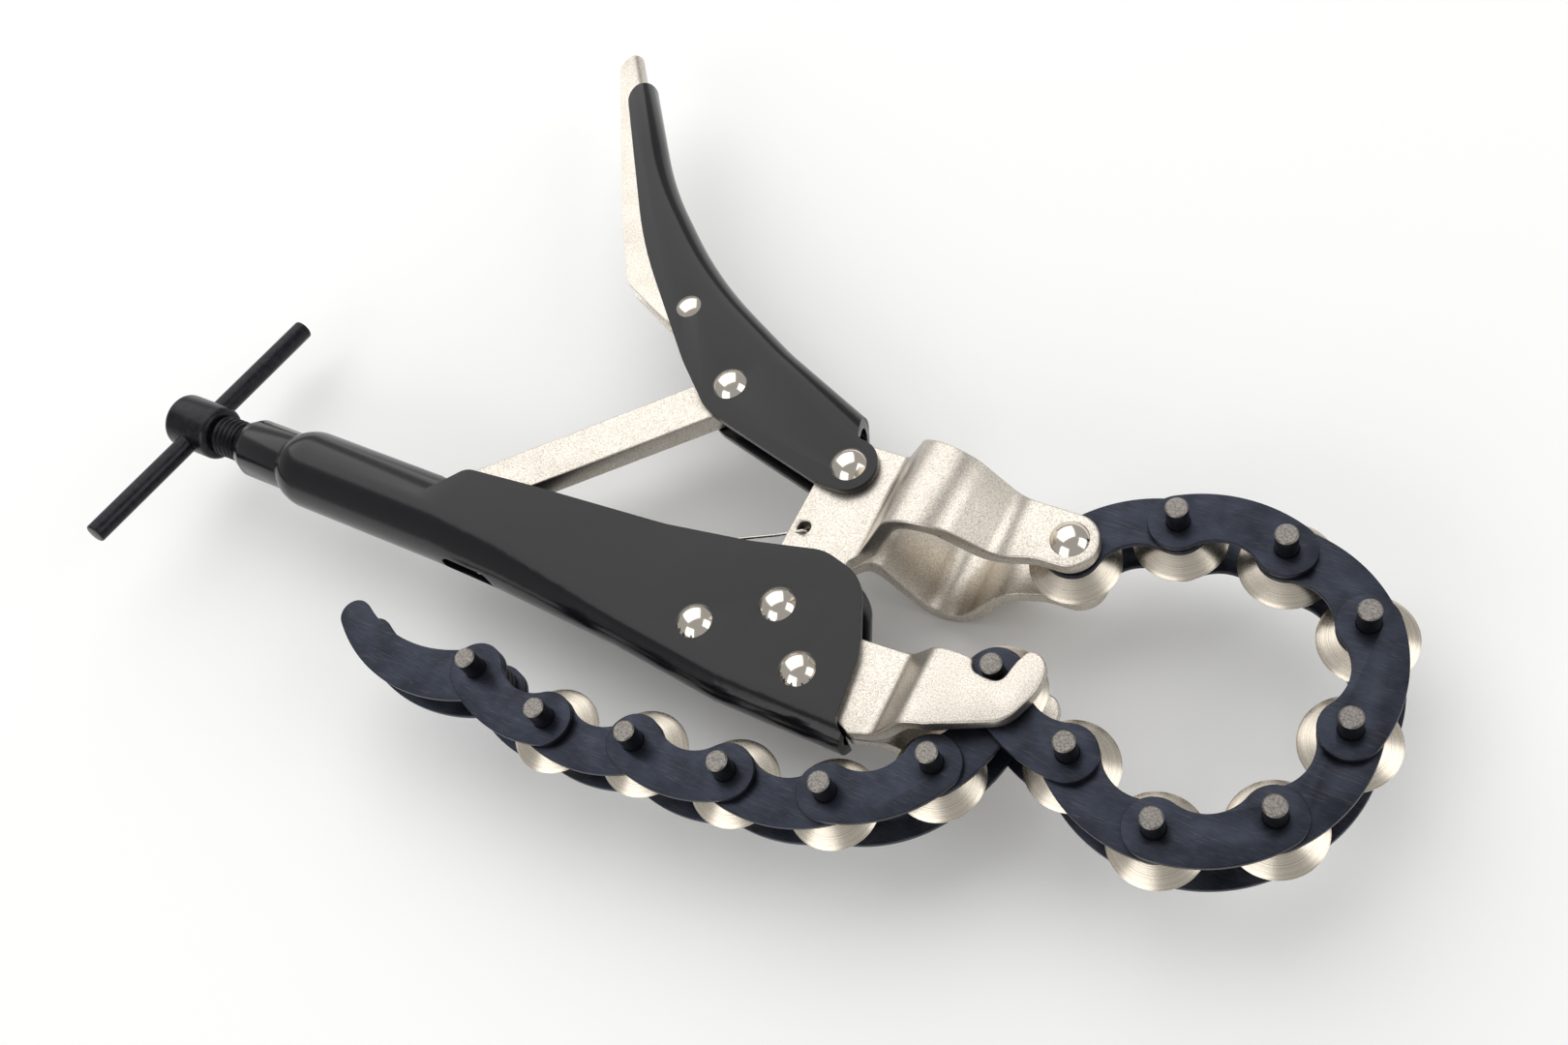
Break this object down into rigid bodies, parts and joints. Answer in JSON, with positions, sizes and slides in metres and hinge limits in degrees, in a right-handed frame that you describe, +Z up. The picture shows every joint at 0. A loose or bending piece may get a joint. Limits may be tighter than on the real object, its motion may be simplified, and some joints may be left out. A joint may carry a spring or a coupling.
{
  "type": "chain exhaust-pipe cutter",
  "caption": "Locking pliers that close a chain of hardened cutter wheels round an exhaust pipe, with a toggle lever, release lever and cross-bar adjusting screw.",
  "frame": {"origin": "centre of the bounding box's base, tool lying on its side", "axes": "+X from the cross bar towards the cutter chain, +Y from the fixed handle towards the lever, +Z up out of the side that faces the viewer; every pivot but the screw's is along Z"},
  "size_m": [0.3518, 0.2143, 0.0532],
  "materials": {
    "gloss_black": "satin gloss black paint over folded steel",
    "black_oxide": "black oxide, lightly oiled",
    "satin_nickel": "satin nickel plate, fine grain, warm",
    "bright_nickel": "bright nickel plate on domed heads",
    "black_washer": "black oxide washers",
    "spring_steel": "bright zinc-plated spring wire",
    "blued_steel": "blued hardened plate, fine handling scratches",
    "ground_pin": "dark hardened pin with ground grey ends",
    "wheel_nickel": "champagne nickel, turned cones"
  },
  "bodies": {
    "fixed_handle": {"fixed_handle": "gloss_black", "fixed_jaw_upper": "satin_nickel", "fixed_jaw_lower": "satin_nickel", "handle_rivets": "bright_nickel", "jaw_spring": "spring_steel"},
    "adjusting_screw": {"adjusting_screw": "black_oxide", "t_bar": "black_oxide"},
    "moving_jaw": {"moving_jaw_upper": "satin_nickel", "moving_jaw_lower": "satin_nickel", "chain_anchor_rivet": "bright_nickel", "anchor_washers": "black_washer"},
    "lever": {"lever": "gloss_black", "lever_rivets": "bright_nickel", "release_rivet": "bright_nickel"},
    "toggle_link": {"toggle_link": "satin_nickel"},
    "release_lever": {"release_lever": "satin_nickel"},
    "link_00": {"inner_plates_00": "blued_steel"},
    "link_01": {"outer_plates_01": "blued_steel", "pins_01": "ground_pin", "washers_01": "black_washer"},
    "link_02": {"inner_plates_02": "blued_steel"},
    "link_03": {"outer_plates_03": "blued_steel", "pins_03": "ground_pin", "washers_03": "black_washer"},
    "link_04": {"inner_plates_04": "blued_steel"},
    "link_05": {"outer_plates_05": "blued_steel", "pins_05": "ground_pin", "washers_05": "black_washer"},
    "link_06": {"inner_plates_06": "blued_steel"},
    "link_07": {"outer_plates_07": "blued_steel", "pins_07": "ground_pin", "washers_07": "black_washer"},
    "link_08": {"inner_plates_08": "blued_steel"},
    "link_09": {"outer_plates_09": "blued_steel", "pins_09": "ground_pin", "washers_09": "black_washer"},
    "link_10": {"inner_plates_10": "blued_steel"},
    "link_11": {"outer_plates_11": "blued_steel", "pins_11": "ground_pin", "washers_11": "black_washer"},
    "link_12": {"inner_plates_12": "blued_steel"},
    "link_13": {"outer_plates_13": "blued_steel", "pins_13": "ground_pin", "washers_13": "black_washer"},
    "link_14": {"inner_plates_14": "blued_steel"},
    "wheel_00": {"wheel_00": "wheel_nickel"},
    "wheel_01": {"wheel_01": "wheel_nickel"},
    "wheel_02": {"wheel_02": "wheel_nickel"},
    "wheel_03": {"wheel_03": "wheel_nickel"},
    "wheel_04": {"wheel_04": "wheel_nickel"},
    "wheel_05": {"wheel_05": "wheel_nickel"},
    "wheel_06": {"wheel_06": "wheel_nickel"},
    "wheel_07": {"wheel_07": "wheel_nickel"},
    "wheel_08": {"wheel_08": "wheel_nickel"},
    "wheel_09": {"wheel_09": "wheel_nickel"},
    "wheel_10": {"wheel_10": "wheel_nickel"},
    "wheel_11": {"wheel_11": "wheel_nickel"},
    "wheel_12": {"wheel_12": "wheel_nickel"},
    "wheel_13": {"wheel_13": "wheel_nickel"}
  },
  "joints": [
    {"name": "screw_turn", "type": "hinge", "parent": "fixed_handle", "child": "adjusting_screw", "pos_m": [-0.1674, -0.056, 0.0266], "axis": [1, 0, 0], "continuous": true},
    {"name": "jaw_pivot", "type": "hinge", "parent": "fixed_handle", "child": "moving_jaw", "pos_m": [0.0311, -0.0469, 0.0266], "axis": [0, 0, 1], "range_deg": [-12.2, 0], "deforming": ["jaw_spring"]},
    {"name": "lever_pivot", "type": "hinge", "parent": "moving_jaw", "child": "lever", "pos_m": [0.03, -0.0056, 0.0266], "axis": [0, 0, 1], "range_deg": [0, 22.7]},
    {"name": "link_pivot", "type": "hinge", "parent": "lever", "child": "toggle_link", "pos_m": [-0.0124, 0.006, 0.0266], "axis": [0, 0, 1], "range_deg": [-18.3, 0]},
    {"name": "release_pivot", "type": "hinge", "parent": "lever", "child": "release_lever", "pos_m": [-0.0364, 0.0248, 0.0266], "axis": [0, 0, 1], "range_deg": [0, 12]},
    {"name": "chain_hinge_00", "type": "hinge", "parent": "moving_jaw", "child": "link_00", "pos_m": [0.0925, -0.00895, 0.0266], "axis": [0, 0, 1], "range_deg": [0, 10]},
    {"name": "chain_hinge_01", "type": "hinge", "parent": "link_00", "child": "link_01", "pos_m": [0.11308, 0.00525, 0.0266], "axis": [0, 0, 1], "range_deg": [0, 3.8]},
    {"name": "chain_hinge_02", "type": "hinge", "parent": "link_01", "child": "link_02", "pos_m": [0.13802, 0.0069, 0.0266], "axis": [0, 0, 1], "range_deg": [-3.03, 0]},
    {"name": "chain_hinge_03", "type": "hinge", "parent": "link_02", "child": "link_03", "pos_m": [0.16028, -0.00449, 0.0266], "axis": [0, 0, 1], "range_deg": [-6.52, 0]},
    {"name": "chain_hinge_04", "type": "hinge", "parent": "link_03", "child": "link_04", "pos_m": [0.16479, -0.02908, 0.0266], "axis": [0, 0, 1], "range_deg": [-4.62, 0]},
    {"name": "chain_hinge_05", "type": "hinge", "parent": "link_04", "child": "link_05", "pos_m": [0.1574, -0.05296, 0.0266], "axis": [0, 0, 1], "range_deg": [-1.58, 0]},
    {"name": "chain_hinge_06", "type": "hinge", "parent": "link_05", "child": "link_06", "pos_m": [0.13547, -0.06496, 0.0266], "axis": [0, 0, 1], "range_deg": [0, 2.31]},
    {"name": "chain_hinge_07", "type": "hinge", "parent": "link_06", "child": "link_07", "pos_m": [0.11202, -0.05629, 0.0266], "axis": [0, 0, 1], "range_deg": [0, 4.61]},
    {"name": "chain_hinge_08", "type": "hinge", "parent": "link_07", "child": "link_08", "pos_m": [0.08955, -0.04533, 0.0266], "axis": [0, 0, 1], "range_deg": [0, 7.24]},
    {"name": "chain_hinge_09", "type": "hinge", "parent": "link_08", "child": "link_09", "pos_m": [0.08517, -0.06994, 0.0266], "axis": [0, 0, 1], "range_deg": [0, 25]},
    {"name": "chain_hinge_10", "type": "hinge", "parent": "link_09", "child": "link_10", "pos_m": [0.06552, -0.0854, 0.0266], "axis": [0, 0, 1], "range_deg": [0, 25]},
    {"name": "chain_hinge_11", "type": "hinge", "parent": "link_10", "child": "link_11", "pos_m": [0.04099, -0.09022, 0.0266], "axis": [0, 0, 1], "range_deg": [0, 25]},
    {"name": "chain_hinge_12", "type": "hinge", "parent": "link_11", "child": "link_12", "pos_m": [0.01609, -0.0924, 0.0266], "axis": [0, 0, 1], "range_deg": [0, 25]},
    {"name": "chain_hinge_13", "type": "hinge", "parent": "link_12", "child": "link_13", "pos_m": [-0.00865, -0.096, 0.0266], "axis": [0, 0, 1], "range_deg": [0, 25]},
    {"name": "chain_hinge_14", "type": "hinge", "parent": "link_13", "child": "link_14", "pos_m": [-0.03326, -0.09158, 0.0266], "axis": [0, 0, 1], "range_deg": [0, 25]},
    {"name": "wheel_spin_00", "type": "hinge", "parent": "moving_jaw", "child": "wheel_00", "pos_m": [0.0925, -0.00895, 0.0266], "axis": [0, 0, 1], "continuous": true},
    {"name": "wheel_spin_01", "type": "hinge", "parent": "link_01", "child": "wheel_01", "pos_m": [0.11308, 0.00525, 0.0266], "axis": [0, 0, 1], "continuous": true},
    {"name": "wheel_spin_02", "type": "hinge", "parent": "link_01", "child": "wheel_02", "pos_m": [0.13802, 0.0069, 0.0266], "axis": [0, 0, 1], "continuous": true},
    {"name": "wheel_spin_03", "type": "hinge", "parent": "link_03", "child": "wheel_03", "pos_m": [0.16028, -0.00449, 0.0266], "axis": [0, 0, 1], "continuous": true},
    {"name": "wheel_spin_04", "type": "hinge", "parent": "link_03", "child": "wheel_04", "pos_m": [0.16479, -0.02908, 0.0266], "axis": [0, 0, 1], "continuous": true},
    {"name": "wheel_spin_05", "type": "hinge", "parent": "link_05", "child": "wheel_05", "pos_m": [0.1574, -0.05296, 0.0266], "axis": [0, 0, 1], "continuous": true},
    {"name": "wheel_spin_06", "type": "hinge", "parent": "link_05", "child": "wheel_06", "pos_m": [0.13547, -0.06496, 0.0266], "axis": [0, 0, 1], "continuous": true},
    {"name": "wheel_spin_07", "type": "hinge", "parent": "link_07", "child": "wheel_07", "pos_m": [0.11202, -0.05629, 0.0266], "axis": [0, 0, 1], "continuous": true},
    {"name": "wheel_spin_08", "type": "hinge", "parent": "link_07", "child": "wheel_08", "pos_m": [0.08955, -0.04533, 0.0266], "axis": [0, 0, 1], "continuous": true},
    {"name": "wheel_spin_09", "type": "hinge", "parent": "link_09", "child": "wheel_09", "pos_m": [0.08517, -0.06994, 0.0266], "axis": [0, 0, 1], "continuous": true},
    {"name": "wheel_spin_10", "type": "hinge", "parent": "link_09", "child": "wheel_10", "pos_m": [0.06552, -0.0854, 0.0266], "axis": [0, 0, 1], "continuous": true},
    {"name": "wheel_spin_11", "type": "hinge", "parent": "link_11", "child": "wheel_11", "pos_m": [0.04099, -0.09022, 0.0266], "axis": [0, 0, 1], "continuous": true},
    {"name": "wheel_spin_12", "type": "hinge", "parent": "link_11", "child": "wheel_12", "pos_m": [0.01609, -0.0924, 0.0266], "axis": [0, 0, 1], "continuous": true},
    {"name": "wheel_spin_13", "type": "hinge", "parent": "link_13", "child": "wheel_13", "pos_m": [-0.00865, -0.096, 0.0266], "axis": [0, 0, 1], "continuous": true}
  ],
  "couplings": [
    {"joint": "jaw_pivot", "follows": "lever_pivot", "ratio": -0.5284},
    {"joint": "link_pivot", "follows": "lever_pivot", "ratio": -0.7966},
    {"joint": "chain_hinge_00", "follows": "lever_pivot", "ratio": 0.4316},
    {"joint": "chain_hinge_01", "follows": "lever_pivot", "ratio": 0.1586},
    {"joint": "chain_hinge_02", "follows": "lever_pivot", "ratio": -0.1248},
    {"joint": "chain_hinge_03", "follows": "lever_pivot", "ratio": -0.2785},
    {"joint": "chain_hinge_04", "follows": "lever_pivot", "ratio": -0.1949},
    {"joint": "chain_hinge_05", "follows": "lever_pivot", "ratio": -0.0608},
    {"joint": "chain_hinge_06", "follows": "lever_pivot", "ratio": 0.0931},
    {"joint": "chain_hinge_07", "follows": "lever_pivot", "ratio": 0.1944},
    {"joint": "chain_hinge_08", "follows": "lever_pivot", "ratio": 0.31}
  ]
}
